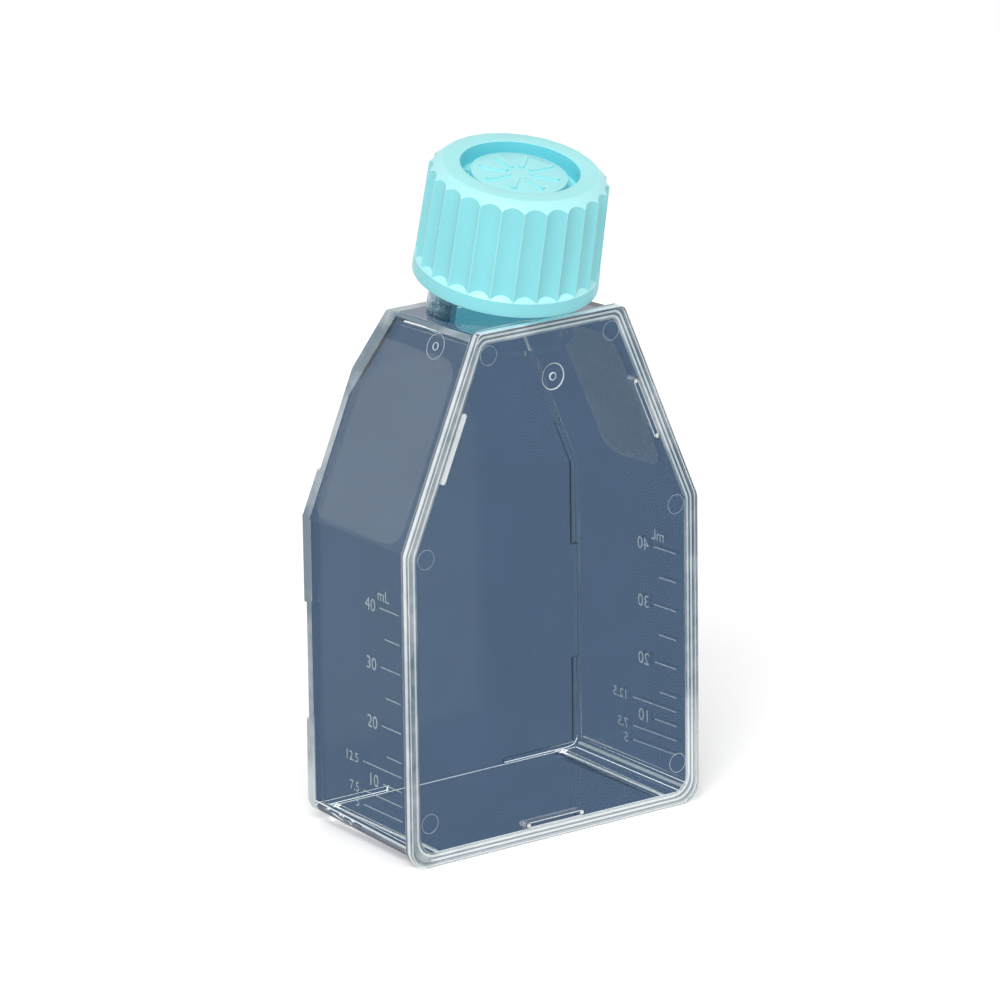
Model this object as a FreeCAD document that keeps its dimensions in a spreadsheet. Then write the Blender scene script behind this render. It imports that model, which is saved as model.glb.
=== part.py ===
import FreeCAD, Part

import math
import os

import Sketcher

# A 25 cm2 cell culture flask with a vented screw cap, standing on its end.
#
# +Z runs up the flask, -Y points out of the front plate and X runs across it. The origin
# is on the ground, midway across the width and midway through the depth. Lengths are
# millimetres and angles are degrees.

SIZES = {
    # hexagonal outline of the front plate, and the depth of the closed flask
    "body_width": 51.0,
    "body_height": 76.0,
    "body_depth": 27.5,
    "shoulder_height": 46.0,
    "top_ledge": 2.2,
    "base_corner_radius": 3.0,
    "shoulder_radius": 2.0,
    "top_corner_radius": 1.2,
    # tray moulding behind the plate
    "wall": 1.3,
    "draft_angle": 2.0,
    "core_radius": 1.1,
    "floor_radius": 0.8,
    "flange_lip": 0.5,
    "flange_thickness": 0.8,
    # ramp that brings the back wall forward to the neck
    "ramp_angle": 22.9,
    "ramp_depth": 3.65,
    # stacking rim on the back: corner angles at the base, and strips over the shoulders
    "rim_height": 0.6,
    "rim_width": 1.3,
    "rim_base_length": 14.0,
    "rim_side_length": 14.3,
    "rim_upper_start": 33.0,
    "rim_upper_end": 52.2,
    # two rails that level the drafted base
    "rail_spacing": 40.2,
    "rail_width": 1.4,
    # front plate, its locating ribs and the marks of its mould
    "plate_thickness": 1.0,
    "rib_inset": 2.4,
    "rib_length": 10.4,
    "rib_width": 0.8,
    "rib_depth": 1.5,
    "pin_mark_diameter": 2.8,
    "pin_mark_inset": 3.5,
    "low_mark_height": 6.3,
    "high_mark_height": 45.0,
    "gate_mark_diameter": 3.7,
    "gate_stub_diameter": 1.1,
    "gate_drop": 8.2,
    "mark_depth": 0.15,
    # canted neck
    "neck_tilt": 13.2,
    "neck_diameter": 21.0,
    "neck_wall": 1.4,
    "neck_height": 17.3,
    "neck_setback": 0.55,
    "throat_depth": 3.0,
    "lip_bevel": 0.35,
    # screw cap
    "thread_space": 1.0,
    "cap_wall": 1.3,
    "cap_spread": 0.4,
    "cap_stand_off": 4.15,
    "seal_gap": 0.05,
    "mouth_chamfer": 0.5,
    "edge_rise": 1.5,
    "edge_run": 1.55,
    "band_height": 2.1,
    "flute_count": 25,
    "flute_depth": 0.72,
    "flute_embed": 0.15,
    # vented top of the cap
    "groove_inset": 0.6,
    "groove_width": 1.6,
    "groove_depth": 2.7,
    "cap_floor": 1.1,
    "disc_drop": 0.95,
    "disc_wall": 1.2,
    "vent_count": 6,
    "vent_width": 0.9,
    "vent_arc": 34.0,
    "spoke_count": 8,
    "spoke_width": 0.7,
    "spoke_height": 0.3,
    "spoke_start": 2.0,
    "spoke_end": 5.4,
    "membrane_thickness": 0.2,
    "membrane_gap": 0.15,
}

document = FreeCAD.newDocument("culture_flask")
sheet = document.addObject("Spreadsheet::Sheet", "Sizes")
for row, (alias, size) in enumerate(SIZES.items(), start=1):
    sheet.set(f"A{row}", alias)
    sheet.set(f"B{row}", str(size))
    sheet.setAlias(f"B{row}", alias)
document.recompute()

# Lengths that several pieces share, each worked out from the sheet.
SEAM = "(-Sizes.body_depth/2 + Sizes.plate_thickness)"
RIM_FACE = "(Sizes.body_depth/2)"
BACK_WALL = "(Sizes.body_depth/2 - Sizes.rim_height)"
NECK_RADIUS = "(Sizes.neck_diameter/2)"
BORE_RADIUS = "(Sizes.neck_diameter/2 - Sizes.neck_wall)"
TOP_WIDTH = "(Sizes.neck_diameter + 2*Sizes.top_ledge)"
SLANT = f"atan((Sizes.body_width - {TOP_WIDTH})/2/(Sizes.body_height - Sizes.shoulder_height))"
TAPER = "tan(Sizes.draft_angle)"
RAMP_TOP = f"({BACK_WALL} - Sizes.ramp_depth)"
NECK_Y = f"({RAMP_TOP} - Sizes.neck_setback - {NECK_RADIUS}/cos(Sizes.neck_tilt))"
CAP_BORE = f"({NECK_RADIUS} + Sizes.thread_space)"
CAP_TOP_RADIUS = f"({CAP_BORE} + Sizes.cap_wall)"
CAP_FOOT_RADIUS = f"({CAP_TOP_RADIUS} + Sizes.cap_spread)"
CAP_CEILING = "(Sizes.neck_height + Sizes.seal_gap - Sizes.cap_stand_off)"
CAP_HEIGHT = f"({CAP_CEILING} + Sizes.cap_floor + Sizes.groove_depth)"
GROOVE_FLOOR = f"({CAP_CEILING} + Sizes.cap_floor)"
DISC_FACE = f"({CAP_HEIGHT} - Sizes.disc_drop)"
GROOVE_RADIUS = f"({BORE_RADIUS} - Sizes.groove_inset)"
DISC_RADIUS = f"({GROOVE_RADIUS} - Sizes.groove_width)"
PLATE_RADII = ["Sizes.base_corner_radius", "Sizes.shoulder_radius", "Sizes.top_corner_radius"]
TRAY_RADII = [f"({radius} - Sizes.flange_lip)" for radius in PLATE_RADII]
CORE_RADII = ["Sizes.core_radius"] * len(PLATE_RADII)


def number(expression):
    """The present value of an expression on the sheet."""
    value = sheet.evalExpression(expression)
    return float(getattr(value, "Value", value))


def new_body(label):
    body = document.addObject("PartDesign::Body", label)
    body.Label = label
    return body


def origin_feature(body, role):
    return next(item for item in body.Origin.OriginFeatures if item.Role == role)


def new_sketch(body, name, plane, offset="0"):
    """An empty sketch on one of the body's own origin planes, offset along its normal."""
    sketch = body.newObject("Sketcher::SketchObject", name)
    sketch.AttachmentSupport = [(origin_feature(body, plane), "")]
    sketch.MapMode = "FlatFace"
    sketch.setExpression("AttachmentOffset.Base.z", offset)
    return sketch


def pin(sketch, line, end, across, up):
    """Place one end of a line at two lengths from the sketch's origin, each an expression."""
    for kind, expression in (("DistanceX", across), ("DistanceY", up)):
        constraint = sketch.addConstraint(
            Sketcher.Constraint(kind, -1, 1, line, end, number(expression))
        )
        sketch.setExpression(f"Constraints[{constraint}]", expression)


def add_polygon(sketch, corners):
    """A closed polygon whose corners are pairs of expressions."""
    points = [FreeCAD.Vector(number(across), number(up), 0) for across, up in corners]
    lines = []
    for start, end in zip(points, points[1:] + points[:1]):
        lines.append(sketch.addGeometry(Part.LineSegment(start, end)))
    for line, following in zip(lines, lines[1:] + lines[:1]):
        sketch.addConstraint(Sketcher.Constraint("Coincident", line, 2, following, 1))
    for line, (across, up) in zip(lines, corners):
        pin(sketch, line, 1, across, up)
    return lines


def add_circle(sketch, across, up, radius):
    """A circle whose centre and radius are expressions."""
    centre = FreeCAD.Vector(number(across), number(up), 0)
    circle = sketch.addGeometry(
        Part.Circle(centre, FreeCAD.Vector(0, 0, 1), number(radius))
    )
    pin(sketch, circle, 3, across, up)
    constraint = sketch.addConstraint(Sketcher.Constraint("Radius", circle, number(radius)))
    sketch.setExpression(f"Constraints[{constraint}]", radius)
    return circle


def add_slot(sketch, first, second, width):
    """A round-ended slot between two centres, each a pair of expressions."""
    start, end = (
        FreeCAD.Vector(number(across), number(up), 0) for across, up in (first, second)
    )
    radius = number(f"{width}/2")
    heading = math.atan2(end.y - start.y, end.x - start.x)
    side = FreeCAD.Vector(-math.sin(heading), math.cos(heading), 0) * radius
    quarter = math.pi / 2
    normal = FreeCAD.Vector(0, 0, 1)
    tail = sketch.addGeometry(
        Part.ArcOfCircle(Part.Circle(start, normal, radius), heading + quarter, heading - quarter)
    )
    head = sketch.addGeometry(
        Part.ArcOfCircle(Part.Circle(end, normal, radius), heading - quarter, heading + quarter)
    )
    right = sketch.addGeometry(Part.LineSegment(start - side, end - side))
    left = sketch.addGeometry(Part.LineSegment(end + side, start + side))
    sketch.addConstraint(Sketcher.Constraint("Tangent", tail, 2, right, 1))
    sketch.addConstraint(Sketcher.Constraint("Tangent", right, 2, head, 1))
    sketch.addConstraint(Sketcher.Constraint("Tangent", head, 2, left, 1))
    sketch.addConstraint(Sketcher.Constraint("Tangent", left, 2, tail, 1))
    pin(sketch, tail, 3, *first)
    pin(sketch, head, 3, *second)
    constraint = sketch.addConstraint(Sketcher.Constraint("Radius", tail, radius))
    sketch.setExpression(f"Constraints[{constraint}]", f"{width}/2")


def extrude(body, kind, name, sketch, length, backwards=False, both_ways=False):
    """A Pad or a Pocket of one sketch."""
    feature = body.newObject(f"PartDesign::{kind}", name)
    feature.Profile = sketch
    feature.setExpression("Length", length)
    feature.Reversed = backwards
    if both_ways:
        feature.SideType = "Symmetric"
    sketch.Visibility = False
    document.recompute()
    return feature


def turn(body, kind, name, sketch, axis):
    """A full Revolution or Groove of one sketch."""
    feature = body.newObject(f"PartDesign::{kind}", name)
    feature.Profile = sketch
    feature.ReferenceAxis = axis
    feature.Angle = 360.0
    document.recompute()
    return feature


def repeat(body, name, feature, count):
    """Copies of a feature round the body's own Z axis."""
    pattern = body.newObject("PartDesign::PolarPattern", name)
    pattern.Originals = [feature]
    pattern.Axis = (origin_feature(body, "Z_Axis"), [""])
    pattern.Angle = 360.0
    pattern.setExpression("Occurrences", count)
    body.Tip = pattern
    document.recompute()
    return pattern


def mirror_across(body, name, features):
    """Copies of features on the other side of the body's YZ plane."""
    mirrored = body.newObject("PartDesign::Mirrored", name)
    mirrored.Originals = features
    mirrored.MirrorPlane = (origin_feature(body, "YZ_Plane"), [""])
    body.Tip = mirrored
    document.recompute()
    return mirrored


def round_edges(body, name, radius, wanted):
    """Fillet those edges of the body that the wanted function picks."""
    base = body.Tip
    picked = [
        f"Edge{index}"
        for index, edge in enumerate(base.Shape.Edges, start=1)
        if wanted(edge)
    ]
    fillet = body.newObject("PartDesign::Fillet", name)
    fillet.Base = (base, picked)
    fillet.setExpression("Radius", radius)
    document.recompute()
    return fillet


def corner_place(edge):
    """Which corners of the outline an edge that runs in depth belongs to, or None."""
    start, end = edge.Vertexes[0].Point, edge.Vertexes[-1].Point
    if abs(end.y - start.y) < edge.Length / 2:
        return None
    if start.z < SIZES["shoulder_height"] / 2:
        return "base"
    if start.z < (SIZES["shoulder_height"] + SIZES["body_height"]) / 2:
        return "shoulders"
    return "top"


def round_corners(body, name, radii):
    """Round the depth edges of the latest shape at the base, the shoulders and the top."""
    for place, radius in zip(("base", "shoulders", "top"), radii):
        round_edges(body, f"{name}_{place}", radius, lambda edge: corner_place(edge) == place)


def draft_sides(body, name, neutral_plane):
    """Draw the sides of the latest shape in towards the back, from a neutral plane."""
    block = body.Tip
    sides = [
        f"Face{index}"
        for index, face in enumerate(block.Shape.Faces, start=1)
        if abs(face.normalAt(0, 0).y) < 0.5
    ]
    draft = body.newObject("PartDesign::Draft", name)
    document.recompute()
    draft.Base = (block, sides)
    draft.NeutralPlane = (neutral_plane, [""])
    draft.Reversed = True
    draft.setExpression("Angle", "Sizes.draft_angle")
    document.recompute()


def outline(body, name, depth, inset):
    """The hexagonal outline of the flask at one depth, drawn in from the plate's edge."""
    base_half = f"(Sizes.body_width/2 - {inset})"
    shoulder = f"(Sizes.shoulder_height - {inset}*tan({SLANT}/2))"
    top = f"(Sizes.body_height - {inset})"
    top_half = f"({base_half} - ({top} - {shoulder})*tan({SLANT}))"
    sketch = new_sketch(body, name, "XZ_Plane", f"-({depth})")
    corners = (
        (f"-{base_half}", inset),
        (base_half, inset),
        (base_half, shoulder),
        (top_half, top),
        (f"-{top_half}", top),
        (f"-{base_half}", shoulder),
    )
    add_polygon(sketch, corners)
    return sketch


def tray_inset(skin, depth):
    """How far a drafted surface, skin inside the tray's, is drawn in at one depth."""
    return f"(Sizes.flange_lip + {skin} + ({depth} - {SEAM})*{TAPER})"


def tray_block(body, name, skin, end_depth, radii):
    """A drafted hexagonal block from the seam back to end_depth, with rounded corners.

    skin is how far the block lies inside the tray's outer surface. Its top comes forward
    along the ramp, which keeps the same distance inside the tray's own ramp."""
    profile = outline(body, f"{name}_outline", SEAM, tray_inset(skin, SEAM))
    extrude(body, "Pad", name, profile, f"({end_depth} - {SEAM})", backwards=True)
    draft_sides(body, f"{name}_draft", profile)
    round_corners(body, f"{name}_round", radii)
    knee = f"({RAMP_TOP} - {skin}*tan((90 - Sizes.ramp_angle)/2))"
    knee_top = f"(Sizes.body_height - {tray_inset(skin, knee)})"
    beyond = f"({end_depth} + Sizes.ramp_depth)"
    above = f"({knee_top} + Sizes.wall)"
    ramp = new_sketch(body, f"{name}_ramp_outline", "YZ_Plane")
    corners = (
        (f"({knee} - ({above} - {knee_top})*tan(Sizes.ramp_angle))", above),
        (beyond, above),
        (beyond, f"({knee_top} - ({beyond} - {knee})/tan(Sizes.ramp_angle))"),
    )
    add_polygon(ramp, corners)
    extrude(body, "Pocket", f"{name}_ramp", ramp, "2*Sizes.body_width", both_ways=True)


def cut_rim_gaps(body):
    """Cut the back wall in behind its rim, which stays at the base corners and shoulders."""
    rim_inset = tray_inset("0", RIM_FACE)
    half_width = "Sizes.body_width"
    base_reach = f"(Sizes.body_width/2 - {rim_inset} - Sizes.rim_base_length)"
    side_start = f"({rim_inset} + Sizes.rim_side_length)"
    cuts = {
        "sides": (half_width, side_start, "Sizes.rim_upper_start"),
        "base": (base_reach, "0", side_start),
        "top": (half_width, "Sizes.rim_upper_end", "Sizes.body_height"),
    }
    field = outline(body, "rim_field", RIM_FACE, f"({rim_inset} + Sizes.rim_width)")
    extrude(body, "Pocket", "rim_field_cut", field, "Sizes.rim_height", backwards=True)
    for name, (reach, low, high) in cuts.items():
        sketch = new_sketch(body, f"rim_{name}", "XZ_Plane", f"-{RIM_FACE}")
        corners = ((f"-{reach}", low), (reach, low), (reach, high), (f"-{reach}", high))
        add_polygon(sketch, corners)
        extrude(body, "Pocket", f"rim_{name}_cut", sketch, "Sizes.rim_height", backwards=True)


def add_rails(body):
    """Two rails under the drafted base, level with the edge of the front plate."""
    inner_face = "(Sizes.rail_spacing/2 - Sizes.rail_width/2)"
    sketch = new_sketch(body, "rail_side", "YZ_Plane", inner_face)
    root = "Sizes.flange_lip + Sizes.wall/2"
    corners = (
        (SEAM, "0"),
        (BACK_WALL, "0"),
        (BACK_WALL, f"({root} + ({BACK_WALL} - {SEAM})*{TAPER})"),
        (SEAM, f"({root})"),
    )
    add_polygon(sketch, corners)
    rail = extrude(body, "Pad", "rail", sketch, "Sizes.rail_width")
    mirror_across(body, "rails", [rail])


def leaning_point(root, lean, out, up):
    """A point near a leaning axis: out from the axis, and up it from its root."""
    across, height = root
    return (
        f"({across} + ({out})*cos({lean}) - ({up})*sin({lean}))",
        f"({height} + ({out})*sin({lean}) + ({up})*cos({lean}))",
    )


def neck_point(out, up):
    """A point of the canted neck: out from its axis, and up it from the top of the flask."""
    return leaning_point((NECK_Y, "Sizes.body_height"), "Sizes.neck_tilt", out, up)


def turn_about_first_line(body, kind, name, plane, points):
    """A Revolution or Groove of a profile whose first line lies on the axis of the turn."""
    sketch = new_sketch(body, f"{name}_profile", plane)
    add_polygon(sketch, points)
    ends = [FreeCAD.Vector(number(across), number(up), 0) for across, up in points[:2]]
    axis = sketch.addGeometry(Part.LineSegment(*ends), True)
    for end, point in enumerate(points[:2], start=1):
        pin(sketch, axis, end, *point)
    return turn(body, kind, name, sketch, (sketch, ["Axis0"]))


def add_neck(body):
    """The canted neck, with a bevelled lip and a short throat inside the top of the tray."""
    solid = (
        ("0", "-Sizes.throat_depth"),
        ("0", "Sizes.neck_height"),
        (f"{NECK_RADIUS} - Sizes.lip_bevel", "Sizes.neck_height"),
        (NECK_RADIUS, "Sizes.neck_height - Sizes.lip_bevel"),
        (NECK_RADIUS, "-Sizes.throat_depth"),
    )
    points = [neck_point(out, up) for out, up in solid]
    turn_about_first_line(body, "Revolution", "neck", "YZ_Plane", points)
    hollow = (
        ("0", "-Sizes.throat_depth - Sizes.wall"),
        ("0", "Sizes.neck_height"),
        (f"{BORE_RADIUS} + Sizes.lip_bevel", "Sizes.neck_height"),
        (BORE_RADIUS, "Sizes.neck_height - Sizes.lip_bevel"),
        (BORE_RADIUS, "-Sizes.throat_depth - Sizes.wall"),
    )
    points = [neck_point(out, up) for out, up in hollow]
    turn_about_first_line(body, "Groove", "bore", "YZ_Plane", points)


def floor_edge(edge):
    """True for an edge of the core that lies round its flat end."""
    floor = number(f"{BACK_WALL} - Sizes.wall")
    return max(abs(vertex.Y - floor) for vertex in edge.Vertexes) < 1e-4


def make_flask_body():
    """The tray: one clear moulding with the back wall, sides, base, top and canted neck."""
    body = new_body("flask_body")
    tray_block(body, "tray", "0", RIM_FACE, TRAY_RADII)
    flange_outline = outline(body, "flange_outline", SEAM, "0")
    extrude(body, "Pad", "flange", flange_outline, "Sizes.flange_thickness", backwards=True)
    round_corners(body, "flange_round", PLATE_RADII)
    cut_rim_gaps(body)
    core = new_body("mould_core")
    tray_block(core, "core", "Sizes.wall", f"({BACK_WALL} - Sizes.wall)", CORE_RADII)
    round_edges(core, "core_floor", "Sizes.floor_radius", floor_edge)
    hollow = body.newObject("PartDesign::Boolean", "hollow")
    hollow.Type = "Cut"
    hollow.setObjects([core])
    document.recompute()
    add_rails(body)
    add_neck(body)
    return body


def make_front_plate():
    """The plate welded over the open tray, with three ribs that locate it in the tray."""
    body = new_body("front_plate")
    profile = outline(body, "plate_outline", SEAM, "0")
    extrude(body, "Pad", "plate", profile, "Sizes.plate_thickness")
    round_corners(body, "plate_round", PLATE_RADII)
    base_rib = new_sketch(body, "base_rib_outline", "XZ_Plane", f"-{SEAM}")
    reach = "(Sizes.rib_length - Sizes.rib_width)/2"
    ends = ((f"-({reach})", "Sizes.rib_inset"), (f"({reach})", "Sizes.rib_inset"))
    add_slot(base_rib, *ends, "Sizes.rib_width")
    extrude(body, "Pad", "base_rib", base_rib, "Sizes.rib_depth", backwards=True)
    side_rib = new_sketch(body, "side_rib_outline", "XZ_Plane", f"-{SEAM}")
    across = f"(Sizes.body_width + {TOP_WIDTH})/4 - Sizes.rib_inset*cos({SLANT})"
    up = f"(Sizes.shoulder_height + Sizes.body_height)/2 - Sizes.rib_inset*sin({SLANT})"
    ends = [
        (f"({across} - {way}*{reach}*sin({SLANT}))", f"({up} + {way}*{reach}*cos({SLANT}))")
        for way in (-1, 1)
    ]
    add_slot(side_rib, *ends, "Sizes.rib_width")
    rib = extrude(body, "Pad", "side_rib", side_rib, "Sizes.rib_depth", backwards=True)
    mirror_across(body, "side_ribs", [rib])
    add_mould_marks(body)
    return body


def add_mould_marks(body):
    """Shallow marks of the ejector pins inside the plate, and of the gate on its face."""
    heights = {
        "top": "(Sizes.body_height - Sizes.pin_mark_inset)",
        "high": "Sizes.high_mark_height",
        "low": "Sizes.low_mark_height",
    }
    for name, height in heights.items():
        narrowing = f"max(0; {height} - Sizes.shoulder_height)*tan({SLANT})"
        across = f"(Sizes.body_width/2 - {narrowing} - Sizes.pin_mark_inset)"
        sketch = new_sketch(body, f"{name}_pin_outline", "XZ_Plane", f"-{SEAM}")
        add_circle(sketch, across, height, "Sizes.pin_mark_diameter/2")
        mark = extrude(body, "Pocket", f"{name}_pin_mark", sketch, "Sizes.mark_depth")
        mirror_across(body, f"{name}_pin_marks", [mark])
    gate = new_sketch(body, "gate_outline", "XZ_Plane", "Sizes.body_depth/2")
    height = "(Sizes.body_height - Sizes.gate_drop)"
    add_circle(gate, "0", height, "Sizes.gate_mark_diameter/2")
    add_circle(gate, "0", height, "Sizes.gate_stub_diameter/2")
    extrude(body, "Pocket", "gate_mark", gate, "Sizes.mark_depth")


def grip_radius(height):
    """Radius of the cap's drafted outside at one height."""
    return f"({CAP_FOOT_RADIUS} - Sizes.cap_spread*({height})/{CAP_HEIGHT})"


def add_grip(body):
    """Concave flutes between sharp ridges, with facets that carry the ridges over the edge."""
    half_pitch = "180/Sizes.flute_count"
    half_chord = f"({CAP_FOOT_RADIUS}*sin({half_pitch}))"
    rise = f"(Sizes.flute_depth - {CAP_FOOT_RADIUS}*(1 - cos({half_pitch})))"
    radius = f"(({half_chord}^2 + {rise}^2)/2/{rise})"
    root = f"({grip_radius('Sizes.band_height')} - Sizes.flute_depth + {radius})"
    lean = f"atan(Sizes.cap_spread/{CAP_HEIGHT})"
    points = [
        leaning_point((root, "Sizes.band_height"), lean, out, up)
        for out, up in (("0", "0"), ("0", CAP_HEIGHT), (f"-{radius}", CAP_HEIGHT), (f"-{radius}", "0"))
    ]
    flute = turn_about_first_line(body, "Groove", "flute", "XZ_Plane", points)
    repeat(body, "flutes", flute, "Sizes.flute_count")
    shelf = new_sketch(body, "flute_end_profile", "XZ_Plane")
    foot = "(Sizes.band_height - Sizes.flute_depth)"
    outer = grip_radius("Sizes.band_height")
    inner = f"({outer} - Sizes.flute_depth - Sizes.flute_embed)"
    corners = (
        (inner, foot),
        (grip_radius(foot), foot),
        (outer, "Sizes.band_height"),
        (inner, f"(Sizes.band_height + {outer} - {inner})"),
    )
    add_polygon(shelf, corners)
    turn(body, "Revolution", "flute_ends", shelf, (origin_feature(body, "Z_Axis"), [""]))
    facet = new_sketch(body, "facet_profile", "XZ_Plane")
    flat = f"{CAP_TOP_RADIUS}*cos({half_pitch})"
    low, high = f"({CAP_HEIGHT} - 2*Sizes.edge_rise)", f"({CAP_HEIGHT} + Sizes.edge_rise)"
    beyond = f"({CAP_FOOT_RADIUS} + 2*Sizes.edge_run)"
    corners = (
        (f"({flat} + Sizes.edge_run)", low),
        (beyond, low),
        (beyond, high),
        (f"({flat} - 2*Sizes.edge_run)", high),
    )
    add_polygon(facet, corners)
    cut = extrude(body, "Pocket", "facet", facet, f"4*{half_chord}", both_ways=True)
    repeat(body, "facets", cut, "Sizes.flute_count")


def add_vents(body):
    """Curved slots through the floor of the groove, over the membrane."""
    profile = new_sketch(body, "vent_profile", "XZ_Plane")
    middle = f"({DISC_RADIUS} + {GROOVE_RADIUS})/2"
    inner, outer = (f"({middle} {side} Sizes.vent_width/2)" for side in "-+")
    low, high = f"({CAP_CEILING} - Sizes.cap_floor)", f"({GROOVE_FLOOR} + Sizes.cap_floor)"
    add_polygon(profile, ((inner, low), (outer, low), (outer, high), (inner, high)))
    axis = (origin_feature(body, "Z_Axis"), [""])
    vent = turn(body, "Groove", "vent", profile, axis)
    vent.setExpression("Angle", "Sizes.vent_arc")
    repeat(body, "vents", vent, "Sizes.vent_count")


def add_spokes(body):
    """Plain raised bars round the middle of the disc."""
    outline_sketch = new_sketch(body, "spoke_outline", "XY_Plane", DISC_FACE)
    ends = (("Sizes.spoke_start", "0"), ("Sizes.spoke_end", "0"))
    add_slot(outline_sketch, *ends, "Sizes.spoke_width")
    spoke = extrude(body, "Pad", "spoke", outline_sketch, "Sizes.spoke_height")
    repeat(body, "spokes", spoke, "Sizes.spoke_count")


def make_screw_cap():
    """The fluted cap: a grip over the thread, and a vented top with a ring groove."""
    body = new_body("screw_cap")
    profile = new_sketch(body, "cap_profile", "XZ_Plane")
    chamber_top = f"({DISC_FACE} - Sizes.disc_wall)"
    chamber_radius = f"({DISC_RADIUS} - Sizes.disc_wall)"
    mouth = f"({CAP_BORE} + Sizes.mouth_chamfer)"
    points = (
        (mouth, "0"),
        (CAP_FOOT_RADIUS, "0"),
        (CAP_TOP_RADIUS, CAP_HEIGHT),
        (GROOVE_RADIUS, CAP_HEIGHT),
        (GROOVE_RADIUS, GROOVE_FLOOR),
        (DISC_RADIUS, GROOVE_FLOOR),
        (DISC_RADIUS, DISC_FACE),
        ("0", DISC_FACE),
        ("0", chamber_top),
        (chamber_radius, chamber_top),
        (chamber_radius, CAP_CEILING),
        (CAP_BORE, CAP_CEILING),
        (CAP_BORE, "Sizes.mouth_chamfer"),
    )
    add_polygon(profile, points)
    turn(body, "Revolution", "cap", profile, (origin_feature(body, "Z_Axis"), [""]))
    add_grip(body)
    add_vents(body)
    add_spokes(body)
    return body


def seat_on_neck(item, up):
    """Stand a piece on the canted neck's axis, a length up it from the top of the flask."""
    depth, height = neck_point("0", up)
    item.Placement.Rotation = FreeCAD.Rotation(FreeCAD.Vector(1, 0, 0), number("Sizes.neck_tilt"))
    item.setExpression("Placement.Base.y", depth)
    item.setExpression("Placement.Base.z", height)
    item.setExpression("Placement.Rotation.Angle", "Sizes.neck_tilt")
    document.recompute()


def make_vent_membrane():
    """The hydrophobic disc welded under the vented top, inside the neck's mouth."""
    disc = document.addObject("Part::Cylinder", "vent_membrane")
    disc.Label = "vent_membrane"
    disc.setExpression("Radius", f"{BORE_RADIUS} - Sizes.membrane_gap")
    disc.setExpression("Height", "Sizes.membrane_thickness")
    return disc


flask_body = make_flask_body()
front_plate = make_front_plate()
screw_cap = make_screw_cap()
seat_on_neck(screw_cap, "Sizes.cap_stand_off")
vent_membrane = make_vent_membrane()
seat_on_neck(vent_membrane, "Sizes.neck_height + Sizes.seal_gap - Sizes.membrane_thickness")

PIECES = (flask_body, front_plate, screw_cap, vent_membrane)

for item in document.Objects:
    if "Invalid" in item.State or "Error" in item.State:
        raise RuntimeError(f"{item.Name} failed: {item.State}")
for piece in PIECES:
    if piece.Shape.isNull() or not piece.Shape.isValid() or len(piece.Shape.Solids) != 1:
        raise RuntimeError(f"{piece.Label} is not one sound solid")

os.makedirs("parts", exist_ok=True)
for piece in PIECES:
    piece.Shape.exportStep(f"parts/{piece.Label}.step")
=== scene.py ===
import math

import bmesh
import bpy
from mathutils import Matrix, Vector


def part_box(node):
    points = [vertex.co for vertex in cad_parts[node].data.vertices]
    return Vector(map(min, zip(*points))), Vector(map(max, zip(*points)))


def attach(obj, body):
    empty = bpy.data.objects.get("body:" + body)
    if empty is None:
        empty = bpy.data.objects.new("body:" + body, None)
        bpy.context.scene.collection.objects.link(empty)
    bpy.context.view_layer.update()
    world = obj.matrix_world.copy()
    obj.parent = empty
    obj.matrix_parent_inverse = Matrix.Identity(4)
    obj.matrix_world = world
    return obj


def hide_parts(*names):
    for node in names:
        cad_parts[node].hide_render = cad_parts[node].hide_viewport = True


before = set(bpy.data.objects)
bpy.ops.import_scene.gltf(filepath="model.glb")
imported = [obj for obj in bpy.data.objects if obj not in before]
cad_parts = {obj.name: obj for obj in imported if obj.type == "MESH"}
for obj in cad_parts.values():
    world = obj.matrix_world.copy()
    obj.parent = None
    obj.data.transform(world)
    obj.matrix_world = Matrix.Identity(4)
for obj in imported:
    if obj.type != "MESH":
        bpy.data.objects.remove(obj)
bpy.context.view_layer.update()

scene = bpy.context.scene
scene.view_settings.view_transform = "Standard"

# ---------------------------------------------------------------------------------------
# Tray. One clear polystyrene moulding: back wall, sides, base, top and canted neck. A painted
# slate colour lies on the outside of the back, the right wall and the base: it stands in for a
# dark slate backdrop seen through the clear plastic. Its narrow faces and mould edges are
# painted silver, with painted highlight, sheen, shade and glow, for the light that the cut edge
# of clear plastic pipes.
# ---------------------------------------------------------------------------------------
MM = 0.001
wall = 1.3 * MM
plate_thickness = 1.0 * MM
rim_height = 0.6 * MM
shoulder_height = 46 * MM
flask_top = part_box("front_plate")[1].z
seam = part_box("front_plate")[0].y + plate_thickness
back_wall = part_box("flask_body")[1].y - rim_height
neck_tilt = math.radians(13.2)
neck_radius = 10.5 * MM
neck_root = Vector((0, -1.835 * MM, flask_top))
neck_up = Vector((0, -math.sin(neck_tilt), math.cos(neck_tilt)))


def new_material(name, color, roughness):
    """A material and its Principled shader, with a plain colour."""
    material = bpy.data.materials.new(name)
    material.use_nodes = True
    shader = material.node_tree.nodes["Principled BSDF"]
    shader.inputs["Base Color"].default_value = (*color, 1)
    shader.inputs["Roughness"].default_value = roughness
    return material, shader


def add_noise(material, scale, detail=2.0, stretch=(1, 1, 1)):
    """Noise fixed to the piece, with scale as its cells in a metre. Returns its factor."""
    nodes, links = material.node_tree.nodes, material.node_tree.links
    place = nodes.new("ShaderNodeTexCoord")
    mapping = nodes.new("ShaderNodeMapping")
    mapping.inputs["Scale"].default_value = stretch
    noise = nodes.new("ShaderNodeTexNoise")
    noise.inputs["Scale"].default_value = scale
    noise.inputs["Detail"].default_value = detail
    links.new(place.outputs["Object"], mapping.inputs["Vector"])
    links.new(mapping.outputs["Vector"], noise.inputs["Vector"])
    return noise.outputs["Fac"]


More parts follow.
